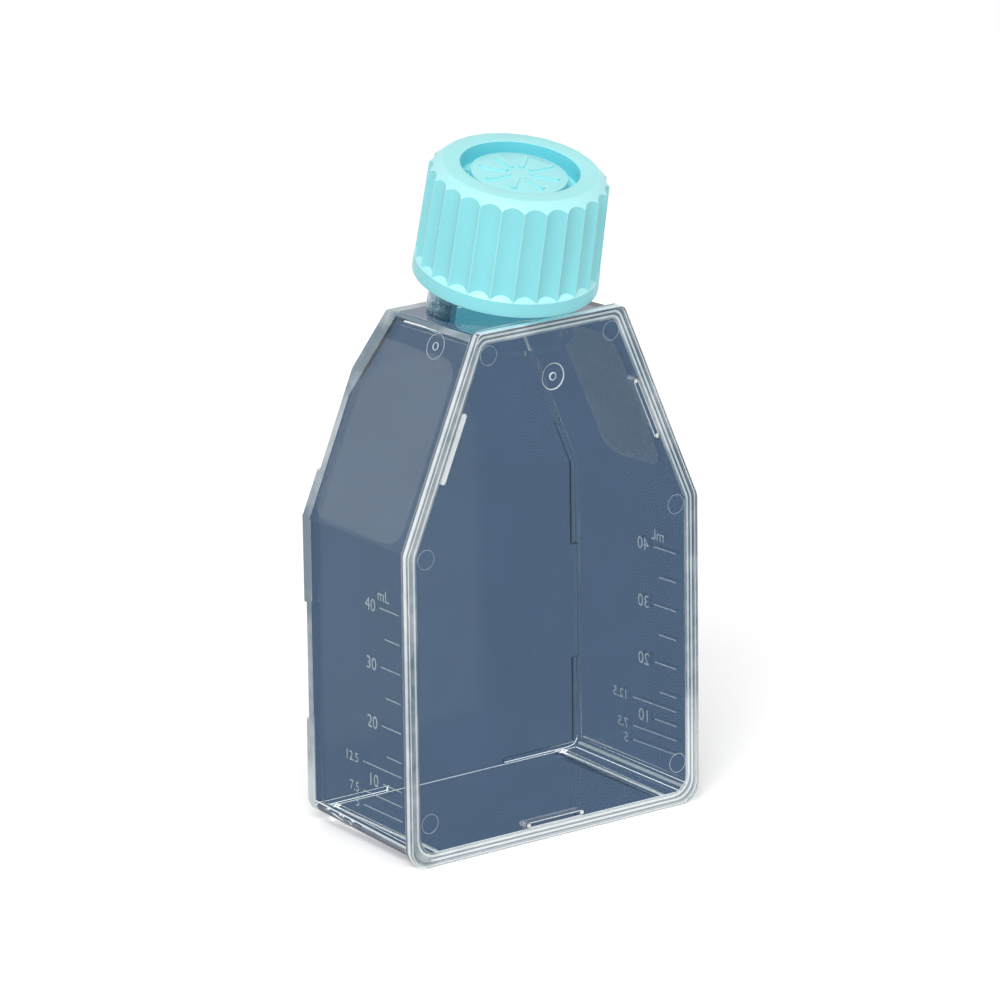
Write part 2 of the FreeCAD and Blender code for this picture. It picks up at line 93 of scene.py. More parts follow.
def vary_color(material, shader, factor, dark, light, low=0.35, high=0.65):
    """Colour the shader from dark to light as a factor goes from low to high."""
    nodes, links = material.node_tree.nodes, material.node_tree.links
    ramp = nodes.new("ShaderNodeValToRGB")
    ramp.color_ramp.elements[0].position = low
    ramp.color_ramp.elements[0].color = (*dark, 1)
    ramp.color_ramp.elements[1].position = high
    ramp.color_ramp.elements[1].color = (*light, 1)
    links.new(factor, ramp.inputs["Fac"])
    links.new(ramp.outputs["Color"], shader.inputs["Base Color"])


def add_bump(material, shader, factor, strength, height):
    """Raise the surface by a factor, up to a height in metres."""
    nodes, links = material.node_tree.nodes, material.node_tree.links
    bump = nodes.new("ShaderNodeBump")
    bump.inputs["Strength"].default_value = strength
    bump.inputs["Distance"].default_value = height
    links.new(factor, bump.inputs["Height"])
    links.new(bump.outputs["Normal"], shader.inputs["Normal"])


def clear_plastic(name, tint, spread=0.05, bend=1.25):
    """Polished polystyrene with a tint that clouds a little from place to place. Some tints are
    painted: a slate backdrop, or the cap's colour reflected in the plastic.
    """
    material, shader = new_material(name, tint, 0.02)
    shader.inputs["Transmission Weight"].default_value = 1.0
    shader.inputs["IOR"].default_value = bend
    shader.inputs["Specular Tint"].default_value = (0.55, 0.7, 0.8, 1)
    dark = [part * (1 - spread) for part in tint]
    light = [min(1, part * (1 + spread)) for part in tint]
    vary_color(material, shader, add_noise(material, 120, 4), dark, light)
    return material


def painted_light_plastic(name, dark, light, glow=0.0):
    """Opaque satin silver painted for the light that clear polystyrene pipes: painted highlight
    in streaks, paler near the foot, with an optional painted glow.
    """
    material, shader = new_material(name, light, 0.3)
    shader.inputs["Coat Weight"].default_value = 0.3
    shader.inputs["Emission Color"].default_value = (*light, 1)
    shader.inputs["Emission Strength"].default_value = glow
    nodes, links = material.node_tree.nodes, material.node_tree.links
    place = nodes.new("ShaderNodeTexCoord")
    height = nodes.new("ShaderNodeSeparateXYZ")
    links.new(place.outputs["Object"], height.inputs["Vector"])
    # Painted highlight: paler towards the foot.
    foot_highlight = nodes.new("ShaderNodeMapRange")
    foot_highlight.inputs["From Min"].default_value = 16 * MM
    foot_highlight.inputs["From Max"].default_value = 0
    foot_highlight.inputs["To Max"].default_value = 0.22
    links.new(height.outputs["Z"], foot_highlight.inputs["Value"])
    total = foot_highlight.outputs["Result"]
    for factor, share in ((add_noise(material, 55, 2), 0.7), (add_noise(material, 420, 5), 0.3)):
        part = nodes.new("ShaderNodeMath")
        part.operation = "MULTIPLY_ADD"
        part.inputs[1].default_value = share
        links.new(factor, part.inputs[0])
        links.new(total, part.inputs[2])
        total = part.outputs[0]
    vary_color(material, shader, total, dark, light, 0.42, 0.68)
    return material


def merged_copy(node):
    """A CAD node's mesh as a bmesh whose flat faces are whole."""
    shape = bmesh.new()
    shape.from_mesh(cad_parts[node].data)
    bmesh.ops.remove_doubles(shape, verts=shape.verts, dist=MM / 1000)
    bmesh.ops.dissolve_limit(
        shape, angle_limit=math.radians(0.4), verts=shape.verts, edges=shape.edges, delimit=set()
    )
    return shape


def cut_across(shape, point, normal, faces=None):
    """Divide the faces that a plane crosses."""
    faces = list(faces or shape.faces)
    lines = {line for face in faces for line in face.edges}
    verts = {vert for face in faces for vert in face.verts}
    bmesh.ops.bisect_plane(shape, geom=[*verts, *lines, *faces], plane_co=point, plane_no=normal)


def sharp_lines(shape, turn):
    """The mould edges that turn by more than an angle, in degrees."""
    turn = math.radians(turn)
    return [line for line in shape.edges if line.is_manifold and line.calc_face_angle() > turn]


def break_edges(shape, lines, size, material=-1):
    """Round some mould edges. Returns the new faces."""
    return bmesh.ops.bevel(
        shape, geom=lines, offset=size, offset_type="OFFSET", segments=2, profile=0.5,
        affect="EDGES", material=material, loop_slide=True,
    )["faces"]


def face_width(face):
    """How wide a face is, taken as a long strip."""
    return 2 * face.calc_area() / sum(line.calc_length() for line in face.edges)


def add_piece(name, shape, materials, body, smooth_below=20, flat_above=None):
    """Make an object of a bmesh, with flat shading across sharp edges and round wide faces."""
    for line in shape.edges:
        meets_flat = flat_above and any(face_width(face) > flat_above for face in line.link_faces)
        turns = line.is_manifold and line.calc_face_angle() > math.radians(smooth_below)
        line.smooth = not (meets_flat or turns)
    for face in shape.faces:
        face.smooth = True
    mesh = bpy.data.meshes.new(name)
    shape.to_mesh(mesh)
    shape.free()
    for material in materials:
        mesh.materials.append(material)
    piece = bpy.data.objects.new(name, mesh)
    scene.collection.objects.link(piece)
    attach(piece, body)
    return piece


def off_neck_axis(point):
    """How far a point is from the neck's axis."""
    arm = point - neck_root
    return (arm - neck_up * arm.dot(neck_up)).length


def in_neck(face):
    """Whether a face of the tray belongs to the neck, or lies round its root."""
    return off_neck_axis(face.calc_center_median()) < neck_radius + 0.2 * MM


def beside_wide(face):
    """Whether a face meets one that is at least as wide as the wall is thick."""
    near = {other for line in face.edges for other in line.link_faces} - {face}
    return any(face_width(other) >= wall for other in near)


CLEAR, SIDE, SLATE, LEDGE, THROAT, NECK, TEAL_REFLECTION, EDGE, SILVER_SHEEN, SHADE, LIP_SHADE, PIPE_GLOW = range(12)
clear_tint = (0.97, 0.985, 0.99)
polystyrene = [
    clear_plastic("clear_polystyrene", clear_tint, 0.01),
    clear_plastic("side_polystyrene", (0.95, 0.98, 0.98), 0.01, 1.12),
    clear_plastic("slate_backdrop_painted", (0.004225, 0.0121, 0.034596), 0.05, 1.2),
    clear_plastic("ledge_cap_reflection", (0.36, 0.64, 0.69), 0.03, 1.6),
    clear_plastic("throat_polystyrene", clear_tint, 0.01, 1.04),
    clear_plastic("neck_backdrop_painted", (0.20, 0.33, 0.41), 0.1, 1.3),
    clear_plastic("neck_cap_reflection", (0.52, 0.86, 0.89), 0.06, 1.3),
    # Painted light: opaque silver for the light that the clear edges pipe, as painted highlight,
    # sheen, shade, lip shade and glow.
    painted_light_plastic("painted_edge_highlight", (0.46, 0.56, 0.62), (0.92, 0.95, 0.95), 0.1),
    painted_light_plastic("painted_silver_sheen", (0.16, 0.23, 0.29), (0.66, 0.73, 0.76)),
    painted_light_plastic("painted_silver_shade", (0.08, 0.12, 0.17), (0.38, 0.45, 0.50)),
    painted_light_plastic("flange_lip", (0.06, 0.10, 0.14), (0.19, 0.25, 0.30)),
    painted_light_plastic("painted_piping_glow", (0.50, 0.62, 0.70), (0.92, 0.97, 0.97), 0.9),
]

# The top and the neck's foot are wavy, and carry a painted reflection of the cap: its colour and
# a faint painted glow.
for kind, waves, glow in ((LEDGE, 0.25, 0.03), (NECK, 0.6, 0.02), (TEAL_REFLECTION, 0.6, 0.15)):
    shader = polystyrene[kind].node_tree.nodes["Principled BSDF"]
    flow = add_noise(polystyrene[kind], 260, 3, (1, 1, 3))
    add_bump(polystyrene[kind], shader, flow, 0.5, waves * MM)
    shader.inputs["Emission Color"].default_value = (0.10, 0.60, 0.64, 1)
    shader.inputs["Emission Strength"].default_value = glow

cavity_middle = Vector((0, 0, 40 * MM))
back_inside = Vector((0, back_wall - wall - 0.05 * MM, 0))
ramp_foot = Vector((0, 10.6 * MM, 65.5 * MM))
ramp_lean = math.radians(22.9)
ramp_out = Vector((0, math.cos(ramp_lean), math.sin(ramp_lean)))
lip_end = Vector((0, seam + 0.25 * MM, 0))
flange_end = Vector((0, seam + 0.85 * MM, 0))
top_band = Vector((0, 0, flask_top - 1.6 * MM))
top_strip = Vector((0, 7.2 * MM, 0))
roof_level = flask_top - 3 * MM
throat_level = flask_top - 5 * MM
neck_level = flask_top - 0.5 * MM
rail_level = 0.9 * MM
foot_level = 0.3 * MM
cap_points = [vert.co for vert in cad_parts["screw_cap"].data.vertices]
cap_rim = min((point - neck_root).dot(neck_up) for point in cap_points)
under_cap = cap_rim + 1.5 * MM

tray = merged_copy("flask_body")
cut_across(tray, back_inside, (0, 1, 0))
cut_across(tray, ramp_foot, ramp_out)
cut_across(tray, lip_end, (0, 1, 0))
cut_across(tray, top_band, (0, 0, 1))
roof = [
    face for face in tray.faces
    if face.normal.z > 0.9 and face.calc_center_median().z > roof_level
]
cut_across(tray, top_strip, (0, 1, 0), roof)
rail_feet = [
    face for face in tray.faces
    if face.normal.z < -0.9 and face.calc_center_median().z < foot_level
]
cut_across(tray, flange_end, (0, 1, 0), rail_feet)
neck = [
    face for face in tray.faces
    if in_neck(face) and face.calc_center_median().z > neck_level
]
cut_across(tray, neck_root + neck_up * under_cap, neck_up, neck)


def neck_kind(middle):
    """The plastic of the neck at a point. Close under the cap it carries a painted reflection of
    the cap, and on its back left a darker painted backdrop.
    """
    arm = middle - neck_root
    if arm.dot(neck_up) > under_cap:
        return CLEAR
    back_left = Vector((-0.8, 0.6, 0))
    return NECK if arm.dot(back_left) > 0.6 * neck_radius else TEAL_REFLECTION


def narrow_kind(middle, out, faces_in):
    """The plastic of a narrow face beside a wide one, where the wall turns a corner: a painted
    highlight outside, a painted glow low inside, and painted silver sheen on the inner sides.
    """
    if not faces_in:
        return EDGE
    if middle.z < 6 * MM:
        return PIPE_GLOW
    return SILVER_SHEEN if abs(out.x) > 0.5 else CLEAR


def tray_kind(face):
    """The plastic of a face of the tray, by its place and the way that it faces."""
    middle = face.calc_center_median()
    faces_in = face.normal.dot(cavity_middle - middle) > 0
    out = -face.normal if faces_in else face.normal
    thin = face_width(face) < wall

    # The top's rear strip in painted silver sheen, the neck and its throat.
    if face.normal.z > 0.9 and middle.z > roof_level and middle.y > top_strip.y:
        return SILVER_SHEEN
    if in_neck(face) and middle.z > neck_level:
        return neck_kind(middle)
    if in_neck(face) and middle.z > throat_level:
        return CLEAR if face.normal.z > 0.9 else THROAT

    # The weld face and the flange behind it, in painted silver sheen, highlight and shade.
    if middle.y < seam + 0.01 * MM:
        return SILVER_SHEEN
    if middle.y < lip_end.y and not faces_in:
        return EDGE
    if middle.y < flange_end.y and not faces_in:
        return LIP_SHADE if out.x < -0.5 else SHADE

    # The rails' sides, and a band of painted silver sheen at the left of the top.
    if abs(face.normal.x) > 0.9 and middle.z < rail_level:
        return CLEAR if face.normal.x < 0 else SLATE
    if out.x < -0.5 and middle.z > top_band.z:
        return SILVER_SHEEN

    # The stacking rim and the border round the ramp, behind the cavity: painted silver sheen at
    # the left and on top, a painted slate backdrop outside elsewhere.
    behind = middle.y > back_inside.y or (middle - ramp_foot).dot(ramp_out) > 0
    if behind and abs(face.normal.y) < 0.5:
        if out.x < -0.5 or out.z > 0.5:
            return SILVER_SHEEN
        return CLEAR if faces_in else SLATE

    # Narrow faces. The shoulders, the base, the back and its left corner stay as the walls.
    on_shoulder = abs(middle.z - shoulder_height) < 2 * MM
    on_base = face.normal.z < -0.9
    left_corner = middle.y > back_inside.y - 1.2 * MM and out.x < -0.3
    stays = on_shoulder or on_base or out.y > 0.9 or left_corner
    if thin and beside_wide(face) and not stays:
        return narrow_kind(middle, out, faces_in)
    # Painted silver sheen on the inner fillet at the base's right.
    if faces_in and out.x > 0.6 and out.z < -0.45:
        return SILVER_SHEEN

    # The walls: a painted slate backdrop outside at the back, the right and below; on the top,
    # wavy with the painted reflection of the cap.
    if max(out.x, out.y) > 0.5 or out.z < -0.5:
        return CLEAR if faces_in else SLATE
    if out.x < -0.98:
        return SIDE
    return LEDGE if out.z > 0.9 and not faces_in else CLEAR


for face in tray.faces:
    face.material_index = tray_kind(face)
# The rails' edges are rounded in a painted glow, and the mould edges in a painted highlight:
# painted silver sheen at the back right, a painted glow low at the back.
rail_lines = [
    line for line in sharp_lines(tray, 35)
    if max(vert.co.z for vert in line.verts) < foot_level
]
break_edges(tray, rail_lines, 0.24 * MM, PIPE_GLOW)
mould_lines = [
    line for line in sharp_lines(tray, 35)
    if line.calc_length() > 0.25 * MM and not all(in_neck(face) for face in line.link_faces)
]
for face in break_edges(tray, mould_lines, 0.12 * MM, EDGE):
    middle = face.calc_center_median()
    if middle.x > 10 * MM and middle.y > 8 * MM and middle.z > 6 * MM:
        face.material_index = SILVER_SHEEN
    elif middle.y > 8 * MM and middle.z < 3 * MM:
        face.material_index = PIPE_GLOW
tray_piece = add_piece("clear_tray", tray, polystyrene, "flask", 20, wall)
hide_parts("flask_body")

# ---------------------------------------------------------------------------------------
# Front plate. A flat clear moulding welded over the open tray. The feet of the locating ribs
# on its back are painted as white highlights, and its border carries painted lines of
# highlight and shade where the weld and the tray's wall lie behind it.
# ---------------------------------------------------------------------------------------
plate_half = seam - 0.45 * MM
half_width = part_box("front_plate")[1].x
half_top = 12.7 * MM
slant = math.atan2(half_width - half_top, flask_top - shoulder_height)
outline = [(half_width, 0), (half_width, shoulder_height), (half_top, flask_top)]
outline += [(-x, z) for x, z in reversed(outline)]

plate = merged_copy("front_plate")
cut_across(plate, Vector((0, plate_half, 0)), (0, 1, 0))
# The top and the rear of the left side are painted highlight, the front of the left side painted
# shade.
for face in plate.faces:
    middle = face.calc_center_median()
    if face.normal.z > 0.9 and middle.z > flask_top - 0.1 * MM:
        face.material_index = EDGE
    elif face.normal.x < -0.5 and middle.x < -half_top:
        face.material_index = EDGE if middle.y > plate_half else SHADE
    else:
        face.material_index = CLEAR

# A hair of air in the joint keeps the plate's back and the tray's front from sharing a plane.
for vert in plate.verts:
    if abs(vert.co.y - seam) < 0.01 * MM:
        vert.co.y -= 0.03 * MM
# The front rim's edges are rounded in painted highlight.
rims = [line for line in sharp_lines(plate, 35) if line.verts[0].co.y < seam - 0.9 * MM]
break_edges(plate, rims, 0.1 * MM, EDGE)
plate_piece = add_piece("clear_plate", plate, polystyrene, "flask", 20, wall)
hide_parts("front_plate")


def inner_face(shape, face, reach, keep):
    """Draw a face in from its border, and keep or drop the ring that this leaves."""
    shape.normal_update()
    ring = bmesh.ops.inset_region(
        shape, faces=[face], thickness=reach, use_boundary=True, use_even_offset=True
    )["faces"]
    if not keep:
        bmesh.ops.delete(shape, geom=ring, context="FACES")
    return ring


def painted_weld_line(shape, inset, width, material, left_material):
    """Add one painted line of highlight or shade in the weld: a thin strip that follows the
    plate's outline.
    """
    corners = [shape.verts.new((x, seam - 0.1 * MM, z)) for x, z in outline]
    middle = shape.faces.new(corners)
    inner_face(shape, middle, inset, keep=False)
    corners = sorted(middle.verts, key=lambda vert: vert.co.z)
    for group, rounding in ((corners[:2], 3.0), (corners[2:4], 0.6), (corners[4:], 1.0)):
        bmesh.ops.bevel(
            shape, geom=group, offset=rounding * MM, offset_type="OFFSET", segments=6,
            profile=0.5, affect="VERTICES", material=-1,
        )
    middle = max(shape.faces, key=lambda face: face.calc_area())
    ring = inner_face(shape, middle, width, keep=True)
    bmesh.ops.delete(shape, geom=[middle], context="FACES")
    for face in ring:
        on_left = face.calc_center_median().x < -half_top
        face.material_index = left_material if on_left else material
    return ring


def thicken(shape, faces, depth=(0, 0.03 * MM, 0)):
    """Give flat faces a little thickness, and turn them outwards."""
    grown = bmesh.ops.extrude_face_region(shape, geom=faces)["geom"]
    raised = [part for part in grown if isinstance(part, bmesh.types.BMVert)]
    bmesh.ops.translate(shape, verts=raised, vec=depth)
    bmesh.ops.recalc_face_normals(shape, faces=shape.faces)


# Each painted line of the weld: its distance in from the edge, its width, and its plastics of
# painted highlight, sheen or shade, elsewhere and on the left.
painted_weld_steps = [
    (0.1, 0.3, SILVER_SHEEN, SILVER_SHEEN), (0.4, 0.22, SHADE, SHADE), (0.62, 0.33, EDGE, SILVER_SHEEN),
    (0.95, 0.3, SHADE, SILVER_SHEEN), (1.25, 0.33, EDGE, EDGE), (1.58, 0.27, SILVER_SHEEN, SHADE),
]
weld = bmesh.new()
for inset, width, material, left_material in painted_weld_steps:
    thicken(weld, painted_weld_line(weld, inset * MM, width * MM, material, left_material))
add_piece("painted_weld_lines", weld, polystyrene, "flask")

# Painted highlights: white strips at the feet of the ribs, whole on the left, elsewhere as
# outlines with end dots.
glint = painted_light_plastic("rib_glint", (0.80, 0.86, 0.88), (1, 1, 1))
half_rib = 5.2 * MM
half_foot = 0.4 * MM
rib_inset = 2.4 * MM
glints = bmesh.new()


def rib_foot(middle, lean, half_length, half_breadth):
    """A round-ended slot of painted highlight on the back of the plate, at the foot of a rib."""
    corners = bmesh.ops.create_grid(glints, x_segments=1, y_segments=1, size=1)["verts"]
    bmesh.ops.scale(glints, verts=corners, vec=(half_breadth, half_length, 1))
    place = Matrix.Rotation(lean, 4, "Y") @ Matrix.Rotation(math.pi / 2, 4, "X")
    bmesh.ops.transform(glints, verts=corners, matrix=Matrix.Translation(middle) @ place)
    rounded = bmesh.ops.bevel(
        glints, geom=corners, offset=half_breadth * 0.98, offset_type="OFFSET", segments=6,
        profile=0.5, affect="VERTICES", material=-1,
    )
    return rounded["verts"][0].link_faces[0]


rib_depth = seam - 0.15 * MM
slant_middle = Vector(((half_width + half_top) / 2, 0, (flask_top + shoulder_height) / 2))
slant_out = Vector((math.cos(slant), 0, math.sin(slant)))
rib_middle = slant_middle - slant_out * rib_inset
ribs = [
    (Vector((-rib_middle.x, rib_depth, rib_middle.z)), slant, True),
    (Vector((rib_middle.x, rib_depth, rib_middle.z)), -slant, False),
    (Vector((0, rib_depth, rib_inset)), math.pi / 2, False),
]
for middle, lean, shines in ribs:
    foot = rib_foot(middle, lean, half_rib, half_foot)
    if shines:
        thicken(glints, [foot])
        continue
    outline_ring = inner_face(glints, foot, 0.12 * MM, keep=True)
    bmesh.ops.delete(glints, geom=[foot], context="FACES")
    thicken(glints, outline_ring)
    end = Matrix.Rotation(lean, 3, "Y") @ Vector((0, 0, half_rib - half_foot))
    for way in (-1, 1):
        thicken(glints, [rib_foot(middle + end * way, lean, half_foot, half_foot)])
add_piece("rib_glints", glints, [glint], "flask")

# ---------------------------------------------------------------------------------------
# Gate and pin marks. Fine rings that the mould leaves: two where the plastic went in, and
# one for each pin that pushed the plate out. They are drawn in the painted edge highlight.
# ---------------------------------------------------------------------------------------
rings = bmesh.new()
front = Vector((0, -1, 0))
left_out = Vector((-slant_out.x, 0, slant_out.z))


def add_ring(radius, thickness, place):
    """A fine ring, turned about its own axis and put in place."""
    start = Matrix.Translation((radius, 0, 0)) @ Matrix.Rotation(math.pi / 2, 4, "X")
    profile = bmesh.ops.create_circle(rings, radius=thickness, segments=6, matrix=start)
    lines = list({line for vert in profile["verts"] for line in vert.link_edges})
    bmesh.ops.spin(
        rings, geom=lines, cent=(0, 0, 0), axis=(0, 0, 1), angle=math.tau, steps=48,
        use_merge=True,
    )
    ring = [vert for vert in rings.verts if not vert.tag]
    bmesh.ops.transform(rings, verts=ring, matrix=place)
    for vert in ring:
        vert.tag = True


def facing(place, outward):
    """A place with the way that its mark faces."""
    return Matrix.Translation(place) @ outward.to_track_quat("Z", "Y").to_matrix().to_4x4()


for x, z in ((22.0, 6.3), (22.0, 45.0), (10.7, 72.5)):
    for way in (-1, 1):
        pin = Vector((way * x * MM, rib_depth, z * MM))
        add_ring(1.4 * MM, 0.027 * MM, facing(pin, front))
plate_gate = Vector((0, seam - 0.9 * MM, 67.8 * MM))
tray_gate = Vector((-13.43 * MM, -4.4 * MM, 72.5 * MM))
for gate, outward in ((plate_gate, front), (tray_gate, left_out)):
    add_ring(1.85 * MM, 0.035 * MM, facing(gate, outward))
    add_ring(0.55 * MM, 0.075 * MM, facing(gate, outward))
bmesh.ops.recalc_face_normals(rings, faces=rings.faces)
add_piece("plate_mould_marks", rings, [polystyrene[EDGE]], "flask", 60)

# ---------------------------------------------------------------------------------------
# Frosted panels. The mould is sand-blasted on both shoulders, so that they can be written
# on. The roughness is a thin skin outside and shows through on the far side as a haze.
# ---------------------------------------------------------------------------------------
draft = math.radians(2)
flask_side = 25.0 * MM
panel_front = 2.4
panel_top = 27.9


def frosted_plastic(name, strength):
    """Roughened polystyrene: a thin grey haze with a fine grain."""
    material, shader = new_material(name, (0.5, 0.58, 0.62), 0.8)
    shader.inputs["Alpha"].default_value = strength
    vary_color(material, shader, add_noise(material, 4200, 4), (0.2, 0.25, 0.28), (0.95, 1, 1))
    return material


frost = frosted_plastic("frosted_polystyrene", 0.055)
haze = frosted_plastic("frost_seen_through", 0.08)


def narrow_wall(way, lean, height, lift):
    """The place of a narrow wall, seen from outside: along it, up it and outwards."""
    up = Vector((-way * math.sin(lean), 0, math.cos(lean)))
    outward = Vector((way * math.cos(lean), math.tan(draft), math.sin(lean))).normalized()
    along = up.cross(outward)
    start = Vector((way * flask_side, seam, height)) + outward * lift
    return Matrix.Translation(start) @ Matrix((along, up, outward)).transposed().to_4x4()


def add_panel(name, way, back, foot, lift, material):
    """A thin frosted skin with round corners. Its back, foot and lift are in mm."""
    skin = bmesh.new()
    near, far = way * panel_front, way * back
    reach = [(near, foot), (far, foot), (far, panel_top), (near, panel_top)]
    corners = [skin.verts.new((x * MM, y * MM, 0)) for x, y in reach]
    skin.faces.new(corners)
    bmesh.ops.bevel(
        skin, geom=corners, offset=3 * MM, offset_type="OFFSET", segments=6, profile=0.5,
        affect="VERTICES", material=-1,
    )
    thicken(skin, skin.faces[:], (0, 0, 0.01 * MM))
    skin.transform(narrow_wall(way, slant, shoulder_height - 0.1 * MM, lift * MM))
    if skin.calc_volume(signed=True) < 0:
        bmesh.ops.reverse_faces(skin, faces=skin.faces)
    add_piece(name, skin, [material], "flask")


add_panel("left_frosted_panel", -1, 24.2, 0.7, 0.01, frost)
add_panel("right_frosted_panel", 1, 15.2, 5.0, 0.01, frost)
add_panel("right_frosted_haze", 1, 15.2, 5.0, -1.35, haze)

# ---------------------------------------------------------------------------------------
# Scale. Grey-white ink on both narrow walls: a line for every 2.5 mL or 5 mL, and plain
# numbers. On the right wall the ink has a painted glow, and shows through the wall as a
# fainter mark with a fainter painted glow.
# ---------------------------------------------------------------------------------------


def scale_ink(name, dark, light, strength, glow=0.0):
    """Thin white ink, a little worn, with an optional painted glow."""
    material, shader = new_material(name, light, 0.6)
    shader.inputs["Alpha"].default_value = strength
    shader.inputs["Emission Color"].default_value = (*light, 1)
    shader.inputs["Emission Strength"].default_value = glow
    vary_color(material, shader, add_noise(material, 1500, 4), dark, light)
    return material


worn_grey = (0.5, 0.57, 0.6)
grey_white = (0.72, 0.8, 0.82)
ink = scale_ink("white_ink", worn_grey, grey_white, 0.5)
glowing_ink = scale_ink("glowing_white_ink", worn_grey, grey_white, 0.4, 0.55)
faint_ink = scale_ink("ink_seen_through", (0.6, 0.68, 0.72), (0.85, 0.92, 0.95), 0.3, 0.15)

# The volume at each line in mL, and where the line ends at the back in mm from the seam.
marks = [(40, 6.95), (35, 5.85), (30, 6.95), (25, 5.85), (20, 6.95), (15, 5.85)]
marks += [(12.5, 11.95), (10, 6.95), (7.5, 11.95), (5, 11.95)]
front_end = 2.15
line_breadth = 0.16
ink_depth = 0.01
base_level = 2.2
rise_per_ml = 0.865


def add_words(shape, text, height, place, align):
    """Add raised figures to a shape that lies flat, at a place in mm."""
    curve = bpy.data.curves.new("words", "FONT")
    curve.body = text
    curve.size = height * 1.4 * MM
    curve.extrude = 0.005 * MM
    curve.resolution_u = 3
    curve.align_x = align
    letters = bpy.data.objects.new("words", curve)
    mesh = bpy.data.meshes.new_from_object(letters)
    mesh.transform(Matrix.Translation((place[0] * MM, place[1] * MM, 0)))
    shape.from_mesh(mesh)
    bpy.data.objects.remove(letters)
    bpy.data.curves.remove(curve)
    bpy.data.meshes.remove(mesh)


def add_scale(name, way, lift, material):
    """Print the volume scale on a narrow wall, lifted off it by a height in mm."""
    print_shape = bmesh.new()
    for volume, back_end in marks:
        height = base_level + rise_per_ml * volume
        length = back_end - front_end
        middle = way * (back_end + front_end) / 2
        line = bmesh.ops.create_cube(print_shape, size=MM)["verts"]
        bmesh.ops.scale(print_shape, verts=line, vec=(length, line_breadth, ink_depth))
        bmesh.ops.translate(print_shape, verts=line, vec=(middle * MM, height * MM, 0))
        size, drop = (1.9, 0.9) if volume % 10 == 0 else (1.45, 0.65)
        if volume % 10 == 0 or volume in (12.5, 7.5, 5):
            place = (way * (back_end + 1.1), height - drop)
            add_words(print_shape, f"{volume:g}", size, place, "LEFT" if way > 0 else "RIGHT")
    unit_place = (way * 6.1, base_level + rise_per_ml * 40 + 1.1)
    add_words(print_shape, "mL", 1.7, unit_place, "CENTER")
    print_shape.transform(narrow_wall(way, 0, 0, lift * MM))
    bmesh.ops.remove_doubles(print_shape, verts=print_shape.verts, dist=MM / 10000)
    bmesh.ops.recalc_face_normals(print_shape, faces=print_shape.faces)
    add_piece(name, print_shape, [material], "flask")


add_scale("left_scale", -1, 0.02, ink)
add_scale("right_scale", 1, 0.02, glowing_ink)
add_scale("right_scale_showing_through", 1, -1.36, faint_ink)

# ---------------------------------------------------------------------------------------
# Neck thread. Two ridges of polystyrene that are moulded round the neck with it, half a turn
# apart. They run out at both ends, and the cap's thread rides on them.
# ---------------------------------------------------------------------------------------
lead = 6 * MM
steps_per_turn = 40
neck_place = Matrix.Translation(neck_root) @ Matrix.Rotation(neck_tilt, 4, "X")


def add_thread(name, root, crest, foot, turns, material, body):
    """Two ridges that wind up the neck's axis, by their radii and foot height in mm."""
    foot = foot * MM
    steps = round(turns * steps_per_turn)
    ridges = bmesh.new()
    profile = [(root, -0.65), (crest, -0.25), (crest, 0.25), (root, 0.65)]
    corners = [ridges.verts.new((r * MM, 0, z * MM + foot)) for r, z in profile]
    bmesh.ops.spin(
        ridges, geom=[ridges.faces.new(corners)], cent=(0, 0, 0), axis=(0, 0, 1),
        dvec=(0, 0, lead * turns / steps), angle=math.tau * turns, steps=steps,
    )
    for vert in ridges.verts:
        progress = (vert.co.z - foot) / (lead * turns)
        run_out = max(0.0, min(1.0, progress * 12, (1 - progress) * 12))
        radius = vert.co.xy.length
        full = root * MM + (radius - root * MM) * run_out
        bmesh.ops.scale(ridges, verts=[vert], vec=(full / radius, full / radius, 1))
    bmesh.ops.remove_doubles(ridges, verts=ridges.verts, dist=MM / 1000)
    bmesh.ops.recalc_face_normals(ridges, faces=ridges.faces)
    if ridges.calc_volume(signed=True) < 0:
        bmesh.ops.reverse_faces(ridges, faces=ridges.faces)
    first = [*ridges.verts, *ridges.edges, *ridges.faces]
    second = bmesh.ops.duplicate(ridges, geom=first)["geom"]
    half_turn = Matrix.Rotation(math.pi, 3, "Z")
    verts = [part for part in second if isinstance(part, bmesh.types.BMVert)]
    bmesh.ops.rotate(ridges, verts=verts, cent=(0, 0, 0), matrix=half_turn)
    ridges.transform(neck_place)
    add_piece(name, ridges, [material], body, 30)


add_thread("neck_thread", 10.48, 11.2, 6.6, 1.3, polystyrene[CLEAR], "flask")

# ---------------------------------------------------------------------------------------
# Screw cap. One moulding of aqua polyethylene, satin, with soft mould edges. Its flutes give
# the fingers a grip, and the thread inside its skirt holds it on the neck.
# ---------------------------------------------------------------------------------------
def aqua_plastic(name, color, glow=0.0):
    """Aqua polyethylene with a fine grain. An optional painted glow stands in for light coming
    through its walls.
    """
    material, shader = new_material(name, color, 0.36)
    shader.inputs["Coat Weight"].default_value = 0.12
    shader.inputs["Coat Roughness"].default_value = 0.3
    shader.inputs["Emission Color"].default_value = (*color, 1)
    shader.inputs["Emission Strength"].default_value = glow
    dark = [part * 0.97 for part in color]
    light = [min(1, part * 1.03) for part in color]
    vary_color(material, shader, add_noise(material, 60), dark, light)
    add_bump(material, shader, add_noise(material, 2500), 0.15, 0.02 * MM)
    return material


